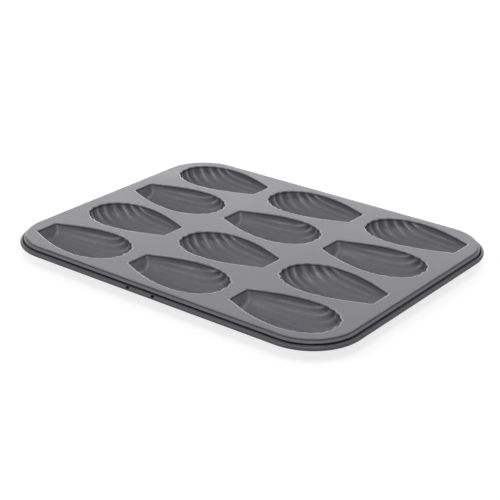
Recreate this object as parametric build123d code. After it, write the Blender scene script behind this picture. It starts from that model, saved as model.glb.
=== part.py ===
from build123d import *
from math import atan2, ceil, cos, degrees, hypot, pi, radians, sin, tan
import os

# A pan of twelve fluted shell moulds, pressed from one coated steel sheet, with a wire in its
# rolled edge. X runs along the shells, Y across them and Z up. The origin is under the middle of
# the pan, at the height of the surface that it stands on. All lengths are in millimetres.

# Sheet, and the layout of the moulds
sheet = 0.6
columns = 3
rows = 4
gap_along = 12.3
gap_across = 8.0
margin_along = 11.7
margin_across = 7.0
corner_radius = 35.0

# One shell mould, measured inside at its lip
shell_length = 80.0
shell_width = 46.0
shell_depth = 15.0
narrow_width = 20.0
widest_from_end = 45.0

# Flutes, counted along the scalloped lip. Each is drawn in flats, and the two beside the middle,
# which the pan stands on, have one flat more, so that it lies level along the bottom.
flutes = 12
flute_rise = 1.1
side_flat_count = 2
middle_flat_count = 3
middle_flutes = 2

# Rim: a flat land, a step down, a sloping ledge, a skirt, and an edge curled out and up round the
# wire. Its bends are drawn in flats too, so many to a full turn.
rim_land = 2.0
step_height = 1.3
shoulder_share = 0.65
ledge_width = 1.7
ledge_drop = 0.8
nose_share = 0.5
skirt_height = 2.9
wire_diameter = 2.0
wire_fit = 0.05
curl_sweep = 295.0
flats_per_turn = 8

# Nicks in the curl's free edge on one long side, and the gap between the wire's ends midway
nick_width = 1.5
nick_spacing = 23.0
nick_share = 0.4
seam_place = -6.6
wire_gap = 1.0

# Overrun of a cut past the solid that it cuts
overrun = 1.0

# Steps of the table by which a curve's length is shared out
curve_steps = 360

# Six sections cross a shell from its narrow end to its scalloped lip, like the ribs of a fan.
# Each hangs from its own place on the lip and leans out over its place on the floor. Both places
# run from the shell's middle, as shares of half its length. The floor's depth is a share of the
# full depth, its flat stretch of the section's half width, and the flutes' rise of flute_rise.
lip_place_shares = (-1.0, -0.64, -0.27, 0.13, 0.16, 0.19)
floor_place_shares = (-0.925, -0.55, -0.12, 0.28, 0.78, 1.0)
floor_depth_shares = (0.62, 0.87, 1.0, 1.0, 0.70, 0.0)
floor_flat_shares = (0.10, 0.18, 0.27, 0.27, 0.18, 0.12)
flute_rise_shares = (0.25, 0.50, 0.80, 0.80, 1.0, 1.0)
sections = list(zip(lip_place_shares, floor_place_shares, floor_depth_shares,
                    floor_flat_shares, flute_rise_shares))

# Sizes worked out from those above
deck_length = columns * shell_length + (columns - 1) * gap_along + 2 * margin_along
deck_width = rows * shell_width + (rows - 1) * gap_across + 2 * margin_across
pitch_along = shell_length + gap_along
pitch_across = shell_width + gap_across
half_length = shell_length / 2
floor_drop = shell_depth - sheet
shoulder_radius = shoulder_share * step_height
nose_radius = nose_share * ledge_width
ledge_slope = atan2(ledge_drop, ledge_width)
curl_flats = ceil(curl_sweep * flats_per_turn / 360)
wire_radius = wire_diameter / 2
curl_inside = wire_radius / cos(radians(curl_sweep / curl_flats / 2)) + wire_fit
curl_outside = curl_inside + sheet
curl_centre_out = ledge_width + curl_inside
curl_centre_down = step_height + ledge_drop + skirt_height


# The shell's half width at its lip grows from the narrow end to the widest place as a quarter wave
def half_width(along):
    share = (along + half_length) / widest_from_end
    grown = (shell_width - narrow_width) / 2 * sin(pi / 2 * share)
    return narrow_width / 2 + grown


# One section's smooth curve, as places across and down: elliptical sides with a flat floor between
def bowl_curve(half, deep, flat_share):
    flat = flat_share * half
    side = half - flat
    turns = [pi / 2 * step / curve_steps for step in range(curve_steps + 1)]
    near = [(-flat - side * cos(turn), deep * sin(turn)) for turn in turns]
    far = [(flat + side * sin(turn), deep * cos(turn)) for turn in turns]
    return near + far


# The ridges between the flutes stand at equal lengths along that curve
def ridge_points(half, deep, flat_share):
    curve = bowl_curve(half, deep, flat_share)
    runs = [0]
    for start, end in zip(curve, curve[1:]):
        runs.append(runs[-1] + hypot(end[0] - start[0], end[1] - start[1]))
    ridges = [curve[0]]
    place = 0
    for count in range(1, flutes):
        target = runs[-1] * count / flutes
        while runs[place + 1] < target:
            place += 1
        share = (target - runs[place]) / (runs[place + 1] - runs[place])
        start, end = curve[place], curve[place + 1]
        across = start[0] + share * (end[0] - start[0])
        down = start[1] + share * (end[1] - start[1])
        ridges.append((across, down))
    ridges.append(curve[-1])
    return ridges


# Between two ridges a flute bulges outwards, in flats that follow a parabola
def fluted_points(half, deep, flat_share, rise):
    ridges = ridge_points(half, deep, flat_share)
    points = []
    for count in range(flutes):
        start, end = ridges[count], ridges[count + 1]
        run_across = end[0] - start[0]
        run_down = end[1] - start[1]
        from_middle = abs(2 * count + 1 - flutes)
        flats = middle_flat_count if from_middle < middle_flutes else side_flat_count
        for step in range(flats):
            share = step / flats
            bulge = 4 * rise * share * (1 - share) / hypot(run_across, run_down)
            across = start[0] + share * run_across - bulge * run_down
            down = start[1] + share * run_down + bulge * run_across
            points.append((across, down))
    points.append(ridges[-1])
    return points


# A section's points in place, on the sheet's inner face, or its outer one with wall = sheet. The
# shell hangs from the deck's underside, and z = 0 is the deck's top until the whole is raised.
def section_points(section, wall):
    lip_share, floor_share, depth_share, flat_share, rise_share = section
    lip_place = lip_share * half_length
    reach = floor_share * half_length - lip_place
    drop = depth_share * floor_drop
    lean = atan2(reach, drop)
    half = half_width(lip_place) + wall
    deep = hypot(reach, drop) + wall
    points = fluted_points(half, deep, flat_share, rise_share * flute_rise)
    return [Vector(lip_place + down * sin(lean), across, -sheet - down * cos(lean))
            for across, down in points]


# The outline of a shell's mouth, on the deck's underside
def mouth_points():
    lines = [section_points(section, 0) for section in sections]
    near_side = [line[0] for line in lines[:-1]]
    far_side = [line[-1] for line in lines[:-1]]
    return near_side + lines[-1] + far_side[::-1]


# A shell mould: a sheet through the sections, closed by a flat wall at its narrow end. Between two
# sections each flat is folded along a diagonal, so that every face of the sheet is plane.
def make_shell():
    loops = []
    for section in sections:
        inner_line = section_points(section, 0)
        outer_line = section_points(section, sheet)
        loops.append(inner_line + outer_line[::-1])
    outlines = [loops[0], loops[-1]]
    for near_loop, far_loop in zip(loops, loops[1:]):
        corners = list(zip(near_loop, far_loop))
        for (near_start, far_start), (near_end, far_end) in zip(corners, corners[1:] + corners[:1]):
            outlines.append([near_start, far_start, far_end])
            outlines.append([near_start, far_end, near_end])
    faces = [Face(Wire.make_polygon(outline, close=True)) for outline in outlines]
    end_outline = Wire.make_polygon(section_points(sections[0], sheet), close=True)
    end_wall = Solid.extrude(Face(end_outline), Vector(-sheet, 0, 0))
    return Solid(Shell(faces)) + end_wall


# Places of the shells by row and column: every second row is turned end for end
def shell_places():
    places = {}
    for row in range(rows):
        for column in range(columns):
            along = (column - (columns - 1) / 2) * pitch_along
            across = (row - (rows - 1) / 2) * pitch_across
            places[row + 1, column + 1] = Pos(along, across, 0) * Rot(0, 0, 180 * (row % 2))
    return places


# The flat deck between the moulds, cut by their mouths, out to the rim's land
def make_deck():
    outline = RectangleRounded(deck_length - 2 * rim_land, deck_width - 2 * rim_land,
                               corner_radius - rim_land)
    deck = Pos(0, 0, -sheet) * extrude(outline, sheet, dir=(0, 0, 1))
    mouth = Face(Wire.make_polygon(mouth_points(), close=True))
    cutter = extrude(mouth, sheet, dir=(0, 0, 1))
    return deck - [place * cutter for place in shell_places().values()]


# Points of a bend in flats, from the angle start and through sweep, in degrees
def bend_points(centre, radius, start, sweep):
    flats = ceil(abs(sweep) * flats_per_turn / 360)
    turns = [radians(start + sweep * step / flats) for step in range(flats + 1)]
    return [(centre[0] + radius * cos(turn), centre[1] + radius * sin(turn)) for turn in turns]


# The rim's section in the plane of X and Z, with X measured from the axis of the deck's corner
def rim_section():
    wall = corner_radius
    skirt = wall + ledge_width
    slope = degrees(ledge_slope)
    nose_centre_down = (step_height + (ledge_width - nose_radius) * tan(ledge_slope)
                        + nose_radius / cos(ledge_slope))
    under_nose_down = (step_height + (ledge_width - sheet) * tan(ledge_slope)
                       + sheet / cos(ledge_slope))
    curl_centre = (wall + curl_centre_out, -curl_centre_down)
    outer_face = [(wall - rim_land, 0)]
    outer_face += bend_points((wall - shoulder_radius, -shoulder_radius), shoulder_radius, 90, -90)
    outer_face += [(wall, -step_height)]
    outer_face += bend_points((skirt - nose_radius, -nose_centre_down), nose_radius,
                              90 - slope, slope - 90)
    outer_face += bend_points(curl_centre, curl_inside, 180, curl_sweep)
    inner_face = [(wall - rim_land, -sheet), (wall - sheet, -sheet)]
    inner_face += bend_points((wall, -step_height), sheet, 180, 90 - slope)
    inner_face += [(skirt - sheet, -under_nose_down)]
    inner_face += bend_points(curl_centre, curl_outside, 180, curl_sweep)
    return Plane.XZ * make_face(Polyline(*outer_face, *inner_face[::-1], close=True))


# Carries a section round the deck's edge: turned about the axis of each corner, and drawn straight
# along the side that follows it
def round_the_edge(section):
    corner_along = deck_length / 2 - corner_radius
    corner_across = deck_width / 2 - corner_radius
    corners = ((1, 1), (-1, 1), (-1, -1), (1, -1))
    runs = (2 * corner_across, 2 * corner_along, 2 * corner_across, 2 * corner_along)
    bend = revolve(section, Axis.Z, revolution_arc=90)
    pieces = []
    for count, (side_along, side_across) in enumerate(corners):
        place = Pos(side_along * corner_along, side_across * corner_across) * Rot(0, 0, 90 * count)
        straight = extrude(section, runs[count], dir=(0, -1, 0))
        pieces.append(place * bend)
        pieces.append(place * straight)
    return pieces[0].fuse(*pieces[1:]).clean()


# The rim, with two nicks in the curl's free edge on the front side
def make_rim():
    rim = round_the_edge(rim_section())
    skirt_out = deck_width / 2 + ledge_width
    free_gap = curl_inside + curl_outside * cos(radians(180 + curl_sweep))
    nick_depth = curl_inside + nick_share * curl_outside - free_gap / 2
    nick_height = curl_outside + overrun
    nick_out = skirt_out + free_gap / 2 + nick_depth / 2
    for side in (-1, 1):
        along = seam_place + side * nick_spacing / 2
        place = Pos(along, -nick_out, nick_height / 2 - curl_centre_down)
        rim -= place * Box(nick_width, nick_depth, nick_height)
    return rim


# The wire inside the curl, whose ends meet midway between the nicks
def make_wire():
    section = Pos(corner_radius + curl_centre_out, -curl_centre_down) * RegularPolygon(
        wire_radius, flats_per_turn)
    ring = round_the_edge(Plane.XZ * section)
    gap_height = wire_diameter + overrun
    gap_place = Pos(seam_place, -deck_width / 2 - curl_centre_out, -curl_centre_down)
    return ring - gap_place * Box(wire_gap, gap_height, gap_height)


# Everything is raised so that the lowest flats of the shells lie at z = 0
stand_height = max(-point.Z for section in sections for point in section_points(section, sheet))
raised = Pos(0, 0, stand_height)
shell = make_shell()
parts = {"deck_sheet": make_deck(), "rolled_rim": make_rim(), "rim_wire": make_wire()}
for (row, column), place in shell_places().items():
    parts[f"shell_mould_{row}{column}"] = place * shell

os.makedirs("parts", exist_ok=True)
for name, part in parts.items():
    solid = raised * part
    solid.label = name
    export_step(solid, f"parts/{name}.step")

print("deck", deck_length, "x", deck_width, "mm, deck top at", round(stand_height, 3), "mm")
print("overall", round(deck_length + 2 * (curl_centre_out + curl_outside), 2), "x",
      round(deck_width + 2 * (curl_centre_out + curl_outside), 2), "mm")
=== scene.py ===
# %% [markdown]
# # A madeleine pan
# The real pan is one thin steel sheet. A press draws twelve fluted shell moulds into it, its edge
# is rolled round a wire, and it is coated dark grey. The frame holds it as plain faceted solids.
# Here every solid is replaced by a smooth mesh of the same piece, in metres and in the same place.
# The materials come first, then the pieces from the moulds outwards, then floor, camera and light.

# %% Load the frame
from math import acos, asin, atan2, cos, degrees, hypot, pi, radians, sin, sqrt, tan

import bmesh
import bpy
import numpy as np
from mathutils import Matrix, Vector


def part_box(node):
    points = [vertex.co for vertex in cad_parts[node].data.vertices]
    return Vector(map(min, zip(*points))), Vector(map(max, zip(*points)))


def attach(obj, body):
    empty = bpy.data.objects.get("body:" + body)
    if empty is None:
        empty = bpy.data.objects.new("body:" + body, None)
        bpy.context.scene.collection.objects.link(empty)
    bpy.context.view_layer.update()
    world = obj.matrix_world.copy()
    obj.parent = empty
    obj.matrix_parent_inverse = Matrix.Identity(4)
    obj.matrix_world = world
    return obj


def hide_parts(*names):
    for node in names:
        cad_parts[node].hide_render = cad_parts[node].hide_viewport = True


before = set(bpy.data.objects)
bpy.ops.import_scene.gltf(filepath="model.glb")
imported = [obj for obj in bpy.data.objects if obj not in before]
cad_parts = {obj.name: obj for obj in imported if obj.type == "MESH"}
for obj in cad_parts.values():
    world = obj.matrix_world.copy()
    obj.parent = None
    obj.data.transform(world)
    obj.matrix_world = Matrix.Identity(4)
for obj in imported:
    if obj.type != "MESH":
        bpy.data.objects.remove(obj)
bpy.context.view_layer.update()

# %% [markdown]
# ## Sizes
# The frame already says where everything is, so most places are read from the boxes of its nodes:
# the deck's top, the sheet's thickness and how far apart the moulds stand. The sizes that a box
# can't tell, such as a bend's radius, are written in millimetres. Each has one name that is used
# wherever it counts, so the pieces still fit together when it changes.

# %% Sizes read from the frame
MM = 0.001
deck_low, deck_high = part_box("deck_sheet")
rim_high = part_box("rolled_rim")[1]
wire_low, wire_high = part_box("rim_wire")
deck_top = deck_high.z
sheet = deck_high.z - deck_low.z
columns = 3
rows = 4
first_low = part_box("shell_mould_11")[0]
pitch_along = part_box("shell_mould_12")[0].x - first_low.x
# Rows 1 and 3 face the same way, so their boxes can be compared
pitch_across = (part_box("shell_mould_31")[0].y - first_low.y) / 2
print("sheet", round(sheet / MM, 2), "mm, deck top at", round(deck_top / MM, 2), "mm")
print("moulds", round(pitch_along / MM, 1), "mm apart along and", round(pitch_across / MM, 1), "mm across")

# %% Sizes of one shell mould
shell_length = 80.0 * MM
shell_width = 46.0 * MM
narrow_width = 20.0 * MM
# The lip is rolled over a small radius and ends in a flat band
lip_radius = 1.0 * MM
lip_band = 0.6 * MM
# The floor bends up into the narrow end's wall
end_radius = 2.6 * MM
# How far a flute bulges out: on the floor, just below the scalloped lip, and at the lip
flutes = 12
floor_rise = 0.4 * MM
flute_rise = 1.5 * MM
lip_rise = 1.0 * MM
print("shells of", round(shell_length / MM), "by", round(shell_width / MM), "mm with", flutes, "flutes")

# %% [markdown]
# ## Colour and nodes
# A colour picker shows sRGB values, but a shader works in linear light, so one function turns a
# hex colour into linear numbers. Materials are built from nodes. They could be joined by hand in
# the node editor, but a script can be read, changed and run again. One function adds a node with
# its settings, its values and its links, so that a material reads as a list of its layers. A Mix
# node has several sockets of one name, and only those in use count.

# %% Helpers for materials
def linear(hex_colour):
    shares = [int(hex_colour[place:place + 2], 16) / 255 for place in (1, 3, 5)]
    steps = [share / 12.92 if share <= 0.04045 else ((share + 0.055) / 1.055) ** 2.4 for share in shares]
    return (*steps, 1.0)


def in_use(sockets, name):
    return next(socket for socket in sockets if socket.name == name and socket.enabled)


def add_node(tree, kind, inputs=None, **settings):
    node = tree.nodes.new(kind)
    for name, value in settings.items():
        setattr(node, name, value)
    for name, value in (inputs or {}).items():
        socket = in_use(node.inputs, name)
        if isinstance(value, bpy.types.NodeSocket):
            tree.links.new(value, socket)
        else:
            socket.default_value = value
    return node


def new_material(name):
    material = bpy.data.materials.new(name)
    material.use_nodes = True
    material.node_tree.nodes.clear()
    return material, material.node_tree


print("a middle grey is", round(linear("#808080")[0], 3), "in linear light")

# %% [markdown]
# ## Satin non-stick coat on pressed steel
# The coat is a fluoropolymer resin, coloured dark grey, sprayed on and baked. It is a dielectric,
# so its metallic is nothing, and such resins have a low index, near 1.38. The eye sees a dark,
# slightly bluish grey that turns pale where light glances off it. Spraying leaves a soft grain
# under a millimetre wide, and the coat lies thicker and thinner in cloudy patches. The pressed
# sheet itself is never quite flat, which shows as slow waves. Noise makes all three. It could be
# a picture laid on the sheet, but noise needs no unwrapping and has no seams, and as it is placed
# by object coordinates, each mould gets its own part of it.
#
# The coat's colour also follows the form. The crests of the ridges are paler, partly from real wear
# and partly as a painted highlight, and the lips, the narrow end's wall and its bend are paler as
# painted light. The flutes, the corners under the lips and the rim's step, groove and bead are darker
# as painted shade. Noise can't know the form, so each point of a mesh carries a number called
# coat_wear_and_painted_light. Above zero the coat is paler, below zero it is darker, and a mesh
# without that number has zero everywhere.

# %% Sizes and colours of the coat
coat_grain = 0.9 * MM
coat_grain_depth = 0.03 * MM
coat_cloud = 28.0 * MM
sheet_wave = 60.0 * MM
sheet_wave_depth = 0.4 * MM
# The pale marks, real wear and painted highlight, are broken into patches, and this share of them is left
# between the patches
pale_patch = 7.0 * MM
least_patch_pale = 0.25
coat_dark = "#626167"
coat_pale = "#68676D"
coat_speckle = "#6E6D74"
# A pale colour for wear and painted highlight, and a dark colour for painted shade
coat_pale_wear_and_highlight = "#A3A2A8"
coat_painted_shade = "#29282B"
coat_index = 1.38
coat_smoothest = 0.34
coat_roughest = 0.42
# Noise keeps near its middle, so a part of its range is stretched to the whole
narrow_part = {"From Min": 0.35, "From Max": 0.65}
middle_part = {"From Min": 0.30, "From Max": 0.70}
wide_part = {"From Min": 0.25, "From Max": 0.75}
print("coat grain", round(coat_grain / MM, 1), "mm, clouds", round(coat_cloud / MM), "mm")


# %% The coat's colour
def coat_colour(tree, place, grain, cloud):
    speckle = add_node(tree, "ShaderNodeMapRange", {"Value": grain, **middle_part})
    patch = add_node(tree, "ShaderNodeMapRange", {"Value": cloud, **middle_part})
    ground = add_node(tree, "ShaderNodeMix", {
        "Factor": patch.outputs["Result"], "A": linear(coat_dark), "B": linear(coat_pale)},
        data_type="RGBA")
    even = add_node(tree, "ShaderNodeMix", {
        "Factor": speckle.outputs["Result"], "A": in_use(ground.outputs, "Result"),
        "B": linear(coat_speckle)}, data_type="RGBA")
    # The pale marks of wear and painted highlight come in patches, while the painted shade is dark all over
    wear_and_painted_light = add_node(tree, "ShaderNodeAttribute", attribute_name="coat_wear_and_painted_light").outputs["Fac"]
    patchy = add_node(tree, "ShaderNodeTexNoise", {
        "Vector": place, "Scale": 1 / pale_patch, "Detail": 2.0})
    most = add_node(tree, "ShaderNodeMapRange", {
        "Value": patchy.outputs["Fac"], **narrow_part, "To Min": least_patch_pale})
    worn_and_highlit = add_node(tree, "ShaderNodeMapRange", {"Value": wear_and_painted_light, "To Max": most.outputs["Result"]})
    painted_shade = add_node(tree, "ShaderNodeMapRange", {"Value": wear_and_painted_light, "From Max": -1.0})
    # Mixed in: paler for wear and painted highlight, darker for painted shade
    with_wear_and_highlight = add_node(tree, "ShaderNodeMix", {
        "Factor": worn_and_highlit.outputs["Result"], "A": in_use(even.outputs, "Result"),
        "B": linear(coat_pale_wear_and_highlight)}, data_type="RGBA")
    colour = add_node(tree, "ShaderNodeMix", {
        "Factor": painted_shade.outputs["Result"], "A": in_use(with_wear_and_highlight.outputs, "Result"),
        "B": linear(coat_painted_shade)}, data_type="RGBA")
    return in_use(colour.outputs, "Result")


print("coat colours from", coat_painted_shade, "where pooled to", coat_pale_wear_and_highlight, "where thin")


# %% Non-stick coated steel
def coated_steel():
    material, tree = new_material("non_stick_coated_steel")
    place = add_node(tree, "ShaderNodeTexCoord").outputs["Object"]
    grain = add_node(tree, "ShaderNodeTexNoise", {
        "Vector": place, "Scale": 1 / coat_grain, "Detail": 2.0, "Roughness": 0.6}).outputs["Fac"]
    cloud = add_node(tree, "ShaderNodeTexNoise", {
        "Vector": place, "Scale": 1 / coat_cloud, "Detail": 3.0, "Roughness": 0.5}).outputs["Fac"]
    wave = add_node(tree, "ShaderNodeTexNoise", {
        "Vector": place, "Scale": 1 / sheet_wave, "Detail": 1.0}).outputs["Fac"]
    rough = add_node(tree, "ShaderNodeMapRange", {
        "Value": cloud, **wide_part, "To Min": coat_smoothest, "To Max": coat_roughest})
    dented = add_node(tree, "ShaderNodeBump", {
        "Height": wave, "Strength": 0.25, "Distance": sheet_wave_depth})
    grained = add_node(tree, "ShaderNodeBump", {
        "Height": grain, "Strength": 0.35, "Distance": coat_grain_depth,
        "Normal": dented.outputs["Normal"]})
    shader = add_node(tree, "ShaderNodeBsdfPrincipled", {
        "Base Color": coat_colour(tree, place, grain, cloud), "Roughness": rough.outputs["Result"],
        "IOR": coat_index, "Normal": grained.outputs["Normal"]})
    add_node(tree, "ShaderNodeOutputMaterial", {"Surface": shader.outputs["BSDF"]})
    return material


coat = coated_steel()
print("made", coat.name)

# %% [markdown]
# ## Dark steel wire
# The wire in the rolled edge is mild steel, pulled through a die. It is coloured nearly black with
# a dull shine, as painted shade, so that the nicks read as dark holes. It shows only through
# two nicks in the roll, so it could be one plain colour, but a little noise keeps it from looking
# painted. Real drawing marks are a few hundredths of a millimetre apart and too fine to show, so
# they are drawn at 0.15 mm. As a metal it keeps the shader's own index.

# %% Steel wire in painted shade
draw_mark = 0.15 * MM
draw_mark_depth = 0.01 * MM
# Near-black, as painted shade for the dark nicks
wire_dark = "#141415"
wire_pale = "#1F1F20"
wire_smoothest = 0.50
wire_roughest = 0.70


def shaded_wire_steel():
    material, tree = new_material("steel_wire_in_painted_shade")
    place = add_node(tree, "ShaderNodeTexCoord").outputs["Object"]
    marks = add_node(tree, "ShaderNodeTexNoise", {
        "Vector": place, "Scale": 1 / draw_mark, "Detail": 2.0}).outputs["Fac"]
    colour = add_node(tree, "ShaderNodeMix", {
        "Factor": marks, "A": linear(wire_dark), "B": linear(wire_pale)}, data_type="RGBA")
    rough = add_node(tree, "ShaderNodeMapRange", {
        "Value": marks, "To Min": wire_smoothest, "To Max": wire_roughest})
    scratched = add_node(tree, "ShaderNodeBump", {
        "Height": marks, "Strength": 0.3, "Distance": draw_mark_depth})
    shader = add_node(tree, "ShaderNodeBsdfPrincipled", {
        "Base Color": in_use(colour.outputs, "Result"), "Metallic": 1.0,
        "Roughness": rough.outputs["Result"], "Normal": scratched.outputs["Normal"]})
    add_node(tree, "ShaderNodeOutputMaterial", {"Surface": shader.outputs["BSDF"]})
    return material


wire_steel = shaded_wire_steel()
print("made", wire_steel.name)

# %% [markdown]
# ## From points to meshes
# Pressed and rolled sheet has smooth, even forms. They could be modelled by hand and smoothed by
# a Subdivision modifier, but here every piece except the deck is a few grids of points, worked
# out from sizes: rows of points that follow the form. A grid becomes quads between neighbouring
# rows, and where grids share an edge their points fall together and are welded. That keeps each
# piece a closed skin, with its shape in the mesh and not in a texture. Welding keeps the wear and
# painted light of only one of the points that fall together, so they are all given the same.

# %% Helpers for meshes
weld = 0.0005 * MM
# Edges that fold by more degrees than this are shaded as sharp
sharp_angle = 32.0


def grid_faces(points, faces, grid, looped=False):
    start = len(points)
    count = len(grid[0])
    for line in grid:
        points.extend(tuple(point) for point in line)
    for row in range(len(grid) - 1):
        for place in range(count if looped else count - 1):
            after = (place + 1) % count
            near = start + row * count
            far = near + count
            faces.append((near + place, near + after, far + after, far + place))


def make_piece(name, points, faces, material, wear_and_painted_light=None):
    mesh = bpy.data.meshes.new(name)
    mesh.from_pydata(points, [], faces)
    skin = bmesh.new()
    skin.from_mesh(mesh)
    # Each point carries its wear and its painted light and shade
    if wear_and_painted_light is not None:
        layer = skin.verts.layers.float.new("coat_wear_and_painted_light")
        for vert, value in zip(skin.verts, wear_and_painted_light):
            vert[layer] = value
    bmesh.ops.remove_doubles(skin, verts=skin.verts, dist=weld)
    bmesh.ops.dissolve_degenerate(skin, edges=skin.edges, dist=weld)
    bmesh.ops.recalc_face_normals(skin, faces=skin.faces)
    open_edges = sum(not edge.is_manifold for edge in skin.edges)
    skin.to_mesh(mesh)
    skin.free()
    mesh.shade_smooth()
    mesh.set_sharp_from_angle(angle=radians(sharp_angle))
    mesh.materials.append(material)
    piece = bpy.data.objects.new(name, mesh)
    bpy.context.scene.collection.objects.link(piece)
    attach(piece, "root")
    print(name, len(mesh.vertices), "points,", open_edges, "open edges")
    return piece


print("points closer than", round(weld / MM, 4), "mm are welded")

# %% [markdown]
# ## The shell's lengthwise form
# A madeleine mould is a scallop shell: a small flat wall at the narrow end, a belly, and a
# scalloped end that turns up like a fan. It could be sculpted, or lofted between a few drawn
# curves. It is drawn here as sections hung across it, like ribs, because a handful of numbers
# then gives the whole form. Each rib hangs from a place on the lip and leans out over a place on
# the floor. The floor's places march on steadily, while those on the lip slow down, so the ribs
# lean more and more until the last lies level. All their sizes change smoothly, so that no ridge
# has a knee in it. Places along the mould are shares of its half length, from -1 at the narrow
# end to 1 at the scalloped one.

# %% Numbers of the shell's lengthwise form
half_length = shell_length / 2 - lip_radius / 2
floor_drop = deck_top - lip_radius - sheet - floor_rise
section_steps = 58
end_steps = 7
# The share of the sections that hang along the belly, before the fan turns up
belly_part_share = 0.507
# Where the floor starts, is deepest and ends. Its own flutes take up the room past that end.
floor_start_share = -0.925
deepest_share = 0.28
flute_room_share = 0.55
floor_end_share = 1 - flute_room_share * lip_rise / half_length
# Where the sections' places on the lip come to a stop, and how fast they slow down
lip_end_share = 0.19
lip_slowing = 2.2
# The mould is widest at that stop
widest_from_end = shell_length / 2 + lip_end_share * half_length
# How deep the first section is, and how fast the depth is reached
first_depth_share = 0.62
depth_power = 2.7
# How wide the flat of the floor is at the ends, and how much wider in the middle
least_flat_share = 0.11
more_flat_share = 0.16
print("floor", round(floor_drop / MM, 2), "mm under the lip's foot, without its folds")
print("widest", round(widest_from_end / MM, 1), "mm from the narrow end")


# %% Sections along the shell
def half_width(along):
    share = (along + shell_length / 2) / widest_from_end
    grown = (shell_width - narrow_width) / 2 * sin(pi / 2 * share)
    return narrow_width / 2 + grown - lip_radius / 2


def eased(share):
    share = np.clip(share, 0, 1)
    return share * share * (3 - 2 * share)


def section_at(share):
    bend_share = end_radius / half_length
    start = floor_start_share + bend_share
    belly = min(share / belly_part_share, 1)
    turn = pi / 2 * max(share - belly_part_share, 0) / (1 - belly_part_share)
    floor = start + belly * (deepest_share - start) + (floor_end_share - deepest_share) * sin(turn)
    back = (deepest_share - start) / (deepest_share - floor_start_share) * (1 - belly)
    depth = (1 - (1 - first_depth_share) * back ** depth_power) * cos(turn)
    lip = bend_share - 1 + (lip_end_share + 1 - bend_share) * (1 - (1 - share) ** lip_slowing)
    flat = least_flat_share + more_flat_share * sin(pi * share) ** 2
    return lip, floor, depth, flat


sections = [section_at(step / section_steps) for step in range(section_steps + 1)]
print(len(sections), "sections")

# %% [markdown]
# ## The flutes
# Between two ridges a flute bulges outwards, and the ridge between two flutes is narrow. On the
# real pan the flutes are soft folds on the floor of the mould. They grow crisp only near the lip
# of the wide end, are deepest just below the scalloped lip and are a little softer at the lip
# itself. Along the straight sides they stay shallow, because a deep flute there would be an
# undercut that the press couldn't draw. A Displace modifier with a texture could raise them, but
# it would blur the ridges. So two waves are added up here, one soft and one with narrow ridges,
# and the points crowd towards each ridge, so that it stays crisp.

# %% Flutes across the shell
flute_steps = 8
ridge_width_share = 0.09
crowding_share = 0.8
# By which share of the sections the folds are full, and between which the crisp ridges grow
soft_by_share = 0.25
sharp_from_share = 0.57
sharp_by_share = 0.84
# How fast the ridges fade towards the straight sides, along the belly and in the fan
side_power = 1.0
end_side_power = 0.4


def crowded(share):
    return share - crowding_share * sin(2 * pi * share) / (2 * pi)


def lobe(share):
    soft = ridge_width_share
    return (sqrt(sin(pi * share) ** 2 + soft * soft) - soft) / (sqrt(1 + soft * soft) - soft)


flute_shares = [crowded(step / flute_steps) for step in range(flute_steps)]
across_shares = [(flute + share) / flutes for flute in range(flutes) for share in flute_shares]
across_shares = np.array(across_shares + [1.0])
lobes = np.array([lobe(share) for share in flute_shares] * flutes + [0.0])
folds = np.array([sin(pi * share) ** 2 for share in flute_shares] * flutes + [0.0])


def lip_nearness(share):
    return eased((share - sharp_by_share) / (1 - sharp_by_share))


def flute_rises(index):
    share = index / section_steps
    grown = eased((share - sharp_from_share) / (sharp_by_share - sharp_from_share))
    soft = floor_rise * eased(share / soft_by_share)
    sharp = (flute_rise - floor_rise) * grown + (lip_rise - flute_rise) * lip_nearness(share)
    side = np.sin(pi * across_shares)
    power = side_power + (end_side_power - side_power) * grown
    return soft * folds * side, sharp * lobes * side ** power


print(len(across_shares), "points across each section")

# %% [markdown]
# ## Points on the shell's inner face
# The inner face is the one that shapes the cake. Each section of it is a curve with elliptical
# sides and a flat floor. A Bezier curve could be set by eye, but its points would lie unevenly.
# Walking along the curve at equal lengths places the ridges, and the same walk gives the
# direction out of the curve, which the flutes follow. Their crisp part fades out down the wall.
# The first section is bent round a small radius into the flat wall at the narrow end.

# %% Points across one section
curve_steps = 200
sharp_height_share = 0.65


def near_lip(drop):
    return eased((1 - drop / floor_drop) / sharp_height_share)


def section_line(section, soft=0.0, sharp=0.0):
    lip_share, floor_share, depth_share, flat_share = section
    lip = lip_share * half_length
    reach = floor_share * half_length - lip
    drop = depth_share * floor_drop
    lean = atan2(reach, drop)
    deep = hypot(reach, drop)
    half = half_width(lip)
    flat = flat_share * half
    # The curve in its own plane, across and down from the lip
    turns = np.linspace(0, pi / 2, curve_steps)
    near_side = -flat - (half - flat) * np.cos(turns)
    across = np.concatenate([near_side, -near_side[::-1]])
    down = np.concatenate([deep * np.sin(turns), deep * np.sin(turns)[::-1]])
    # The walk along it, with the direction out of it at each place
    runs = np.concatenate([[0], np.cumsum(np.hypot(np.diff(across), np.diff(down)))])
    places = across_shares * runs[-1]
    out_across = -np.interp(places, runs, np.gradient(down, runs))
    out_down = np.interp(places, runs, np.gradient(across, runs))
    size = np.hypot(out_across, out_down)
    across = np.interp(places, runs, across)
    down = np.interp(places, runs, down)
    # The plane leans out from the lip over the floor
    out = np.stack([out_down * sin(lean), out_across, -out_down * cos(lean)], axis=1) / size[:, None]
    line = np.stack([lip + down * sin(lean), across, -lip_radius - down * cos(lean)], axis=1)
    rises = soft + sharp * near_lip(down * cos(lean))
    return line + out * rises[:, None], out


deepest = min(section_line(section)[0][:, 2].min() for section in sections)
print("without flutes the floor lies", round(-deepest / MM, 2), "mm below the deck")


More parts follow.
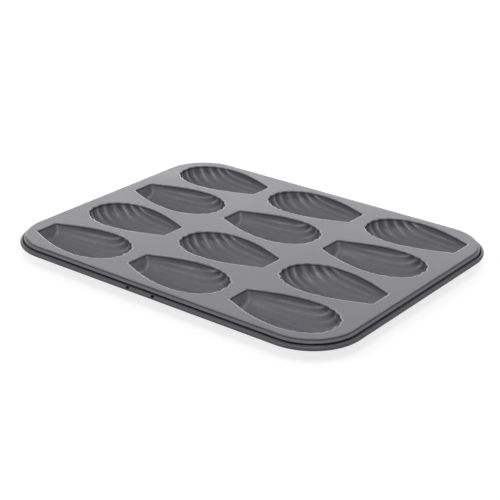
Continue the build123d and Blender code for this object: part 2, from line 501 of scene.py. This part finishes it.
# %% The shell's inner face
def inner_grid(fluted):
    lines = []
    for index, section in enumerate(sections):
        rises = flute_rises(index) if fluted else (0.0, 0.0)
        lines.append(section_line(section, *rises)[0])
    first, out = section_line(sections[0])
    corner = []
    for step in range(end_steps):
        turn = pi / 2 * step / end_steps
        line = first - out * end_radius * (1 - sin(turn))
        line[:, 0] -= end_radius * cos(turn)
        # The two ends of the line are on the lip, which stays level
        line[[0, -1], 2] = -lip_radius
        corner.append(line)
    return np.array(corner + lines)


inner = inner_grid(True)
plain = inner_grid(False)
print("inner face", inner.shape[0], "by", inner.shape[1], "points")

# %% [markdown]
# ## Wear and painted light on the shell
# The crests of the ridges are paler, partly because use rubs them and partly as a painted
# highlight. The wall and the bend at the narrow end are paler as painted light, and the flutes and
# the corner just under the lip are darker as painted shade. It could be painted on the points by
# hand, but worked out from the form it fits every ridge and follows a change of size. These marks
# are strong in the fan and near the lip, and fade out on the floor.

# %% Wear and painted light on the shell's inner face
# Paler on a ridge, from wear and from a painted highlight, and how fast that fades beside it
ridge_wear_and_highlight = 0.9
ridge_highlight_power = 1.1
# Painted shade in a flute of the fan, and in one close to the scalloped lip
flute_shade = -0.60
lip_flute_shade = -0.40
# From which share of the sections these marks grow, and how much of them is left on the floor
marks_from_share = 0.48
floor_marks_share = 0.08
# How much of these marks of wear and painted light there is along the straight sides
side_marks = 0.7
# Painted light on the narrow end's wall, and a painted highlight on the bend that leads to it
end_wall_painted_light = 0.2
crease_highlight = 0.5
# Painted shade just under the lip, and how that fades over the first points of a section
under_lip_shade = -0.9
under_lip_fade = np.array([1, 0.9, 0.6])


def inner_wear_and_painted_light():
    bend = [0, (end_steps - 1) / 2, end_steps - 1]
    bent = np.interp(range(end_steps), bend, [end_wall_painted_light, crease_highlight, 0])
    lines = [np.full(len(across_shares), value) for value in bent]
    for index in range(section_steps + 1):
        share = index / section_steps
        high = near_lip(-lip_radius - inner[end_steps + index, :, 2])
        strength = eased((share - marks_from_share) / (sharp_by_share - marks_from_share))
        strength = strength * (floor_marks_share + (1 - floor_marks_share) * high)
        sides = side_marks * (1 - np.sin(pi * across_shares)) * eased(share / soft_by_share) * high
        hollow = flute_shade + (lip_flute_shade - flute_shade) * lip_nearness(share)
        crest = ridge_wear_and_highlight * (1 - lobes) ** ridge_highlight_power + hollow * lobes
        lines.append(np.maximum(strength, sides) * crest)
    wear_and_painted_light = np.array(lines)
    faded = len(under_lip_fade)
    # Painted shade along the lip at both sides of every section
    wear_and_painted_light[:, :faded] = under_lip_shade * under_lip_fade
    wear_and_painted_light[:, -faded:] = under_lip_shade * under_lip_fade[::-1]
    # The last section is the scalloped lip itself, in full painted shade, and the one before it gets half as
    # much
    wear_and_painted_light[-2] += under_lip_shade / 2
    wear_and_painted_light[-1] = under_lip_shade
    return wear_and_painted_light


inner_marks = inner_wear_and_painted_light()
print("wear from", round(inner_marks.min(), 2), "to", round(inner_marks.max(), 2))

# %% [markdown]
# ## The mould's lip and its outer face
# A punch can't leave a knife edge, so the lip is rolled over a small radius all round. Rings of
# points follow that quarter circle out of the mould's mouth and end in a narrow flat band, which
# meets the deck. The outer face lies one sheet's thickness outside the inner face. A Bevel and a
# Solidify modifier could make both, but rings keep the band exactly as high as the deck, and
# their points can carry painted shade under the lip and a painted highlight on top of it.

# %% The way round the mouth
def mouth_loop(grid):
    end_line = grid[0, 1:-1].copy()
    end_line[:, 0] = grid[0, 0, 0]
    end_line[:, 2] = -lip_radius
    return np.concatenate([grid[:, 0], grid[-1, 1:-1], grid[::-1, -1], end_line[::-1]])


def outward(loop):
    step = np.roll(loop, -1, axis=0) - np.roll(loop, 1, axis=0)
    out = np.stack([step[:, 1], -step[:, 0], np.zeros(len(step))], axis=1)
    return out / np.linalg.norm(out, axis=1)[:, None]


def face_directions(grid):
    along = np.gradient(grid, axis=0)
    across = np.gradient(grid, axis=1)
    out = -np.cross(along, across)
    return out / np.linalg.norm(out, axis=2)[:, :, None]


# Directions come from the face without flutes, so that the sheet doesn't fold over at a ridge
mouth = mouth_loop(inner)
mouth_out = outward(mouth_loop(plain))
mouth_ends = [round(end / MM, 1) for end in (mouth[:, 0].min(), mouth[:, 0].max())]
print("mouth of", len(mouth), "points, from", mouth_ends[0], "to", mouth_ends[1], "mm along")

# %% Lip rings and the outer face
lip_steps = 5
depth_count = len(inner)


def lip_rings(radius):
    rings = []
    for step in range(lip_steps + 1):
        turn = pi / 2 * (1 - step / lip_steps)
        ring = mouth + mouth_out * (lip_radius - radius * sin(turn))
        ring[:, 2] = radius * cos(turn) - lip_radius
        rings.append(ring)
    band = rings[-1] + mouth_out * lip_band
    return rings + [band]


def outer_grid():
    grid = inner + face_directions(plain) * sheet
    edge = mouth + mouth_out * sheet
    last = depth_count + inner.shape[1] - 2
    grid[:, 0] = edge[:depth_count]
    grid[-1, 1:-1] = edge[depth_count:last]
    grid[:, -1] = edge[last:last + depth_count][::-1]
    return grid, edge


outer, outer_edge = outer_grid()
print("lowest point", round((deck_top + outer[:, :, 2].min()) / MM, 3), "mm above the floor")

# %% [markdown]
# ## The wall at the narrow end
# The real wall is a small flat, bent up from the floor. It could be one row of tall quads, but
# then the painted shade under the lip would fade over the whole wall. So a middle row of points
# stands a millimetre below the lip, or halfway where the wall is lower than that.

# %% The wall's points
shaded_band = 1.0 * MM
most_shaded_share = 0.5


def end_wall(points, faces, foot, top):
    height = np.maximum(top[:, 2] - foot[1:-1, 2], weld)
    share = np.minimum(most_shaded_share, shaded_band / height)
    middle = top + (foot[1:-1] - top) * share[:, None]
    grid_faces(points, faces, [foot[1:-1], middle, top])
    for end in (0, -1):
        start = len(points)
        near = (foot[end], foot[1:-1][end], middle[end], top[end])
        points.extend(tuple(point) for point in near)
        faces.append((start, start + 1, start + 2, start + 3))


print("the wall is", round((mouth[-1, 2] - inner[0, 1:-1, 2].min()) / MM, 1), "mm high")

# %% [markdown]
# ## One shell as one mesh
# The pressed sheet has two faces and, where the mould is cut from the deck in the frame, an edge
# between them. The grids are laid one after the other: the inner face, the wall, the lip, that
# edge, and then the same again for the underside. They could be separate objects joined later,
# but side by side in one list their points and their wear and painted light keep the same order.

# %% The shell's grids, with their wear and painted light
# A painted highlight on top of the lip
lip_highlight = 0.7
# The ring of the lip from which the painted highlight starts to grow
highlight_from_ring = 2


def shell_mesh():
    points = []
    faces = []
    wall_points = inner.shape[1] - 2
    grid_faces(points, faces, inner)
    wear_and_painted_light = inner_marks.ravel().tolist()
    # The wall has three rows, and a quad closes it at each end
    end_wall(points, faces, inner[0], mouth[-wall_points:][::-1])
    # The wall takes painted light, and painted shade in its top row under the lip
    wear_and_painted_light += inner_marks[0, 1:-1].tolist() + [end_wall_painted_light] * wall_points + [under_lip_shade] * wall_points
    wear_and_painted_light += [under_lip_shade, inner_marks[0, 1], end_wall_painted_light, under_lip_shade] * 2
    top = lip_rings(lip_radius)
    grid_faces(points, faces, top, looped=True)
    # The rings run from painted shade at the mouth to a painted highlight on the band
    pale_rings = [0, highlight_from_ring, len(top) - 2]
    ring_shade_and_highlight = np.interp(range(len(top)), pale_rings, [under_lip_shade, 0, lip_highlight])
    wear_and_painted_light += np.repeat(ring_shade_and_highlight, len(mouth)).tolist()
    # The cut edge, where the mould meets the deck
    under = lip_rings(lip_radius - sheet)
    grid_faces(points, faces, [top[-1], under[-1]], looped=True)
    # The cut edge keeps the painted highlight of the lip's top
    wear_and_painted_light += [lip_highlight] * len(mouth)
    # The underside has no wear and no painted light
    grid_faces(points, faces, outer)
    end_wall(points, faces, outer[0], outer_edge[-wall_points:][::-1])
    grid_faces(points, faces, under, looped=True)
    wear_and_painted_light += [0.0] * (len(points) - len(wear_and_painted_light))
    return np.array(points), faces, wear_and_painted_light, top[-1]


shell_points, shell_faces, shell_wear_and_painted_light, shell_edge = shell_mesh()
print("one shell has", len(shell_points), "points before welding")

# %% [markdown]
# ## Twelve moulds
# The press draws all twelve into the one sheet. They stand in three columns and four rows, and
# every second row is turned end for end, as the wide ends then nest beside narrow ones. They
# could be copies that share one mesh, but then the grain of the coat would repeat. So each is its
# own mesh in its own place, and the grain runs on from one to the next.

# %% Build the moulds
def placed(local, row, column):
    turned = -1 if row % 2 else 1
    along = (column - (columns - 1) / 2) * pitch_along
    across = (row - (rows - 1) / 2) * pitch_across
    return local * np.array([turned, turned, 1]) + np.array([along, across, deck_top])


mouth_edges = []
for row in range(rows):
    for column in range(columns):
        number = f"{row + 1}{column + 1}"
        points = placed(shell_points, row, column).tolist()
        shell = make_piece(f"shell_{number}", points, shell_faces, coat, wear_and_painted_light=shell_wear_and_painted_light)
        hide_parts(f"shell_mould_{number}")
        mouth_edges.append(placed(shell_edge, row, column))

# %% [markdown]
# ## The way round the edge
# The rim, the wire in it and the deck's outline all follow one path: a rectangle with round
# corners. A curve object with a bevel profile could sweep the rim round it, but couldn't cut the
# two small nicks in the rolled edge. So the path is a list of stations. Each is a point on the
# corner's axis and a direction out of it, and one section can be carried from each to the next.
# Directions are in degrees, anticlockwise from the right, so the front is at 270.

# %% Stations round the edge
corner_radius = 35.0 * MM
rim_land = 2.0 * MM
corner_steps = 24
facing_front = 270
# The wire's ends meet at the seam, between the nicks. A nick's own ends are cut square.
seam_place = -6.6 * MM
nick_width = 2.8 * MM
nick_spacing = 23.0 * MM
cut_edge = 0.02 * MM
corner_along = deck_high.x + rim_land - corner_radius
corner_across = deck_high.y + rim_land - corner_radius


def edge_path(front_places):
    front = [(place, -corner_across, facing_front) for place in sorted(front_places)]
    right = [station for station in front if station[0] >= seam_place]
    left = [station for station in front if station[0] < seam_place]
    corners = []
    for count, (side_along, side_across) in enumerate(((1, -1), (1, 1), (-1, 1), (-1, -1))):
        for step in range(corner_steps + 1):
            turn = facing_front + 90 * (count + step / corner_steps)
            corners.append((side_along * corner_along, side_across * corner_across, turn))
    return right + corners + left


def carried(station, section):
    along, across, turn = station
    return [(along + out * cos(radians(turn)), across + out * sin(radians(turn)), deck_top + up)
            for out, up in section]


nick_edges = [seam_place + side * nick_spacing / 2 + end * nick_width / 2
              for side in (-1, 1) for end in (-1, 1)]
edge_stations = edge_path([seam_place])
print(len(edge_stations), "stations, nicks at", [round(place / MM, 1) for place in nick_edges])

# %% [markdown]
# ## The deck
# The deck is the flat of the sheet between the moulds. It could be a plate with twelve Boolean
# cuts, but each cut would need its own cutter, and its points wouldn't be those of the lip. Here
# the top is filled with triangles between its outline and the edges of the twelve mouths, so it
# meets the moulds point by point and no gap opens. It is flat, so the triangles don't show.

# %% Build the deck
def deck_mesh():
    outline = [carried(station, [(corner_radius - rim_land, 0)])[0] for station in edge_stations]
    loops = [outline] + [[tuple(point) for point in edge] for edge in mouth_edges]
    flat = bmesh.new()
    edges = []
    for loop in loops:
        corners = [flat.verts.new((*point[:2], 0)) for point in loop]
        edges += [flat.edges.new(pair) for pair in zip(corners, corners[1:] + corners[:1])]
    flat.verts.index_update()
    filled = bmesh.ops.triangle_fill(flat, edges=edges, use_beauty=True, normal=(0, 0, 1))
    triangles = [face for face in filled["geom"] if isinstance(face, bmesh.types.BMFace)]
    top = [(*vert.co.xy, deck_top) for vert in flat.verts]
    under = [(*vert.co.xy, deck_top - sheet) for vert in flat.verts]
    faces = [tuple(vert.index for vert in face.verts) for face in triangles]
    faces += [tuple(index + len(top) for index in reversed(face)) for face in faces]
    # Each loop's side, from the top to the underside
    start = 0
    for loop in loops:
        for place in range(len(loop)):
            near = start + place
            after = start + (place + 1) % len(loop)
            faces.append((near, after, after + len(top), near + len(top)))
        start += len(loop)
    flat.free()
    return top + under, faces


deck = make_piece("deck", *deck_mesh(), coat)
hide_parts("deck_sheet")

# %% [markdown]
# ## The rolled rim
# Outside the deck the sheet steps down over a shoulder, bends out again at a foot, runs on as a
# narrow sloping ledge and turns down over a nose. Below the nose a groove is rolled in, and then
# the sheet goes outwards and up round the wire. The free edge of the roll stops just short of the
# skirt. The gap between them, and the shade of the groove above it, read as one black line. The
# section could be a drawn profile, but a list of arcs gives every bend its real radius. The arcs
# have the same centres on both faces of the sheet, so it keeps its thickness.

# %% Sizes of the rim
step_height = 1.3 * MM
shoulder_radius = 0.6 * MM
foot_radius = 0.35 * MM
ledge_width = 1.7 * MM
ledge_drop = 0.8 * MM
nose_radius = 0.5 * MM
skirt_height = 3.2 * MM
groove_radius = 0.4 * MM
groove_depth = 0.7 * MM
groove_above_wire = 1.5 * MM
wire_fit = 0.03 * MM
# How far round the wire the roll goes, in degrees, and how far where a nick is cut into it
curl_sweep = 276
nick_sweep = 190
shoulder_steps = 8
foot_steps = 6
nose_steps = 10
groove_steps = 10
curl_steps = 26
tip_steps = 5
ledge_slope = atan2(ledge_drop, ledge_width)
wire_radius = (wire_high.z - wire_low.z) / 2
curl_inside = wire_radius + wire_fit
curl_outside = curl_inside + sheet
curl_centre = (rim_high.x - corner_along - curl_outside, -step_height - ledge_drop - skirt_height)
print("wire", round(2 * wire_radius / MM, 2), "mm thick, roll", round(2 * curl_outside / MM, 2), "mm")


# %% The rim's section
def arc(centre, radius, start, sweep, steps):
    turns = [radians(start + sweep * step / steps) for step in range(steps + 1)]
    return [(centre[0] + radius * cos(turn), centre[1] + radius * sin(turn)) for turn in turns]


def rim_face(depth, sweep):
    wall = corner_radius
    slope = degrees(ledge_slope)
    shoulder = (wall - shoulder_radius, -shoulder_radius)
    foot = (wall + foot_radius, foot_radius * (1 - sin(ledge_slope)) / cos(ledge_slope) - step_height)
    nose_down = step_height + (ledge_width - nose_radius) * tan(ledge_slope) + nose_radius / cos(ledge_slope)
    nose = (wall + ledge_width - nose_radius, -nose_down)
    groove = (wall + ledge_width - groove_depth + groove_radius, curl_centre[1] + groove_above_wire)
    # The straight runs into and out of the groove touch its arc and the next one at these angles
    out, down = groove[0] - nose[0], nose[1] - groove[1]
    lean = degrees(atan2(down, out) - acos((groove_radius + nose_radius) / hypot(out, down)))
    out, down = curl_centre[0] - groove[0], groove[1] - curl_centre[1]
    spread = degrees(asin((curl_inside - groove_radius) / hypot(out, down)) + atan2(out, down))
    face = [(wall - rim_land, -depth)]
    face += arc(shoulder, shoulder_radius - depth, 90, -90, shoulder_steps)
    face += arc(foot, foot_radius + depth, 180, 90 - slope, foot_steps)
    face += arc(nose, nose_radius - depth, 90 - slope, slope - 90 - lean, nose_steps)
    face += arc(groove, groove_radius + depth, 180 - lean, lean + spread, groove_steps)
    # The roll's tip has points of its own, which fall together where a nick ends the roll sooner
    face += arc(curl_centre, curl_inside + depth, 180 + spread, nick_sweep - spread, curl_steps)
    face += arc(curl_centre, curl_inside + depth, 180 + nick_sweep, sweep - nick_sweep, tip_steps)[1:]
    return face


def rim_section(sweep):
    return rim_face(0, sweep) + rim_face(sheet, sweep)[::-1]


print(len(rim_section(curl_sweep)), "points in the rim's section")

# %% [markdown]
# ## Painted shade on the rim
# The step down from the deck, its foot, the underside of the nose, the groove, the inside of the
# roll and the rolled bead are given painted shade, so they are darker than the ledge. It could be
# left to the shadows, but in the photograph these places are darker than shadow alone makes them.
# The painted shade is given for the points of one section, arc by arc in the order in which they
# were drawn.

# %% Painted shade across the rim's section
# Painted shade, zero or below, for each arc: shoulder, foot, nose, groove, inside and outside of the roll
shoulder_shade = [0, 0, 0, 0, -0.2, -0.4, -0.5, -0.6, -0.6]
foot_shade = [-0.6, -0.5, -0.3, 0, 0, 0, 0]
nose_shade = [0, 0, 0, 0, -0.3, -0.5, -0.7, -0.9, -0.9, -0.9, -0.9]
groove_shade = -0.95
inside_curl_shade = -0.6
bead_shade = -0.45


def rim_painted_shade():
    curl_points = curl_steps + 1 + tip_steps
    upper = [0] + shoulder_shade + foot_shade + nose_shade
    upper += [groove_shade] * (groove_steps + 1) + [inside_curl_shade] * curl_points
    # The other face of the sheet is listed backwards, from the free edge of the roll
    # The bead, on the outside of the roll, is in painted shade too
    return upper + [bead_shade] * curl_points + [0] * (len(upper) - curl_points)


print(len(rim_painted_shade()), "values for the points of one section")

# %% [markdown]
# ## The rim as one mesh
# Rollers turn the whole edge over the wire, and two nicks stay open in its free edge. The rim
# could be swept along a curve and the nicks cut out of it, but then their edges would have no
# clean points. Here a ring of points stands at every station and quads join the rings. At each
# end of a nick, two stations stand close together, one with the whole roll and one with a roll
# that stops sooner.

# %% Build the rim
def rim_mesh():
    whole = rim_section(curl_sweep)
    nicked = rim_section(nick_sweep)
    places = {seam_place: whole}
    for low, high in zip(nick_edges[::2], nick_edges[1::2]):
        places.update({low - cut_edge: whole, low: nicked, high: nicked, high + cut_edge: whole})
    rings = []
    for station in edge_path(places):
        section = places.get(station[0], whole) if station[1] < 0 else whole
        rings.append(carried(station, section))
    points = []
    faces = []
    grid_faces(points, faces, rings + rings[:1], looped=True)
    return points, faces, rim_painted_shade() * (len(rings) + 1)


rim_points, rim_faces, rim_shade_values = rim_mesh()
rim = make_piece("rim", rim_points, rim_faces, coat, wear_and_painted_light=rim_shade_values)
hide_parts("rolled_rim")

# %% [markdown]
# ## The wire
# A steel wire runs round inside the roll and stiffens the pan. Its two ends meet between the
# nicks, a millimetre apart. A curve with a round bevel could make it, but a circle that is
# carried round the rim's own path stays true to the roll in every corner.

# %% Build the wire
wire_gap = 1.0 * MM
wire_sides = 16


def wire_mesh():
    turns = [2 * pi * step / wire_sides for step in range(wire_sides)]
    section = [(curl_centre[0] + wire_radius * cos(turn), curl_centre[1] + wire_radius * sin(turn))
               for turn in turns]
    ends = (seam_place + wire_gap / 2, seam_place - wire_gap / 2)
    rings = [carried(station, section) for station in edge_path(ends)]
    points = []
    faces = []
    grid_faces(points, faces, rings, looped=True)
    faces.append(tuple(range(wire_sides)))
    faces.append(tuple(range(len(points) - wire_sides, len(points))))
    return points, faces


wire = make_piece("wire", *wire_mesh(), wire_steel)
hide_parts("rim_wire")

# %% [markdown]
# ## Floor and background
# The photograph has a plain white ground. The real one is a matt white sheet under bright light.
# More light on the floor would also bleach the pan, so the sheet is a plain grey in the light
# that it sends to the pan. Seen by the camera or in a reflection it glows as well, so that it
# reaches white, yet the pan's shadow still shows. The world does the same: white to the eye, and
# a plain soft level as light.

# %% The floor
floor_size = 6.0
floor_grey = "#959595"
floor_roughness = 0.9
floor_glow = 0.78
white = (1, 1, 1, 1)


def seen_directly(tree):
    # Both inputs of a Math node are called Value, so they are linked by number
    path = add_node(tree, "ShaderNodeLightPath")
    either = add_node(tree, "ShaderNodeMath", operation="MAXIMUM")
    tree.links.new(path.outputs["Is Camera Ray"], either.inputs[0])
    tree.links.new(path.outputs["Is Glossy Ray"], either.inputs[1])
    every = add_node(tree, "ShaderNodeMath", operation="MAXIMUM")
    tree.links.new(either.outputs[0], every.inputs[0])
    tree.links.new(path.outputs["Is Transmission Ray"], every.inputs[1])
    return every.outputs[0]


def floor_sheet():
    material, tree = new_material("matt_white_paper")
    glow = add_node(tree, "ShaderNodeMath", operation="MULTIPLY")
    tree.links.new(seen_directly(tree), glow.inputs[0])
    glow.inputs[1].default_value = floor_glow
    shader = add_node(tree, "ShaderNodeBsdfPrincipled", {
        "Base Color": linear(floor_grey), "Roughness": floor_roughness,
        "Emission Color": white, "Emission Strength": glow.outputs[0]})
    add_node(tree, "ShaderNodeOutputMaterial", {"Surface": shader.outputs["BSDF"]})
    side = floor_size / 2
    corners = [(-side, -side, 0), (side, -side, 0), (side, side, 0), (-side, side, 0)]
    mesh = bpy.data.meshes.new("floor")
    mesh.from_pydata(corners, [], [(0, 1, 2, 3)])
    mesh.materials.append(material)
    floor = bpy.data.objects.new("floor", mesh)
    bpy.context.scene.collection.objects.link(floor)


floor_sheet()
print("floor of", floor_size, "m")

# %% The world and the view
surround_level = 0.36


def white_world():
    world = bpy.data.worlds.new("white_surround")
    world.use_nodes = True
    tree = world.node_tree
    tree.nodes.clear()
    level = add_node(tree, "ShaderNodeMapRange", {
        "Value": seen_directly(tree), "To Min": surround_level})
    back = add_node(tree, "ShaderNodeBackground", {
        "Color": white, "Strength": level.outputs["Result"]})
    add_node(tree, "ShaderNodeOutputWorld", {"Surface": back.outputs["Background"]})
    bpy.context.scene.world = world


white_world()
bpy.context.scene.view_settings.view_transform = "Standard"
print("surround at", surround_level, "as light")

# %% [markdown]
# ## Camera
# The camera stands where a fit to the twelve mould outlines puts it: off the pan's front corner,
# looking down at about 24 degrees, with a long lens. It could be dragged into place by eye, but
# numbers can be matched and kept. Its position is given from the middle of the deck by two
# angles, a distance and a small slide in the picture's own directions.

# %% Camera
view_turn = 37.761
view_height = 23.794
view_roll = 0.524
view_distance = 982.2 * MM
slide_right = -0.413 * MM
slide_up = -9.350 * MM
picture_pixels = 500
focal_pixels = 1321.45
sensor_width = 36.0

turn = radians(view_turn)
height = radians(view_height)
back = Vector((sin(turn) * cos(height), -cos(turn) * cos(height), sin(height)))
right = Vector((cos(turn), sin(turn), 0))
up = back.cross(right)
roll = radians(view_roll)
camera_right = right * cos(roll) + up * sin(roll)
camera_up = up * cos(roll) - right * sin(roll)
camera_place = Vector((0, 0, deck_top)) + back * view_distance + right * slide_right + up * slide_up
camera_axes = Matrix((camera_right, camera_up, back)).transposed().to_4x4()

camera_data = bpy.data.cameras.new("camera")
camera_data.sensor_width = sensor_width
camera_data.lens = focal_pixels / picture_pixels * sensor_width
camera_data.clip_start = 0.05
camera_data.clip_end = 20.0
camera = bpy.data.objects.new("camera", camera_data)
camera.matrix_world = Matrix.Translation(camera_place) @ camera_axes
bpy.context.scene.collection.objects.link(camera)
bpy.context.scene.camera = camera
print("camera", [round(place, 3) for place in camera_place], "lens", round(camera_data.lens, 1), "mm")

# %% [markdown]
# ## Light
# The light is that of a small studio: soft and plain, from three panels and the pale surround. A
# panel high up in front lights the deck and the moulds' far walls, one on the left gives the
# ridges a light side, and a long low one behind the pan glances off the deck into the camera,
# which is why the deck looks paler than the moulds. Lamps without size would be simpler, but
# would leave hard shadows in the flutes. How bright a panel looks is its power divided by its
# area and by pi, so the brightness is chosen here and the power is worked out from it.

# %% Lights
# Name, degrees round from the front, degrees up, distance, width and height in metres, brightness
panels = [
    ("front_panel", view_turn, 60, 1.6, 0.7, 0.7, 6.0),
    ("left_panel", view_turn - 60, 30, 1.6, 0.7, 0.7, 2.4),
    ("back_panel", view_turn + 180, 10, 2.2, 2.4, 0.6, 3.8),
]


def add_panel(name, round_degrees, up_degrees, distance, width, tall, brightness):
    turn = radians(round_degrees)
    rise = radians(up_degrees)
    away = Vector((sin(turn) * cos(rise), -cos(turn) * cos(rise), sin(rise)))
    data = bpy.data.lights.new(name, "AREA")
    data.shape = "RECTANGLE"
    data.size = width
    data.size_y = tall
    data.energy = brightness * pi * width * tall
    light = bpy.data.objects.new(name, data)
    light.location = Vector((0, 0, deck_top)) + away * distance
    light.rotation_mode = "QUATERNION"
    light.rotation_quaternion = away.to_track_quat("Z", "Y")
    bpy.context.scene.collection.objects.link(light)


for panel in panels:
    add_panel(*panel)
print(len(panels), "panels")

# %% [markdown]
# ## Finish
# The view layer is updated once more. The dressed pan has to stay inside the frame's box.

# %% Finish
bpy.context.view_layer.update()
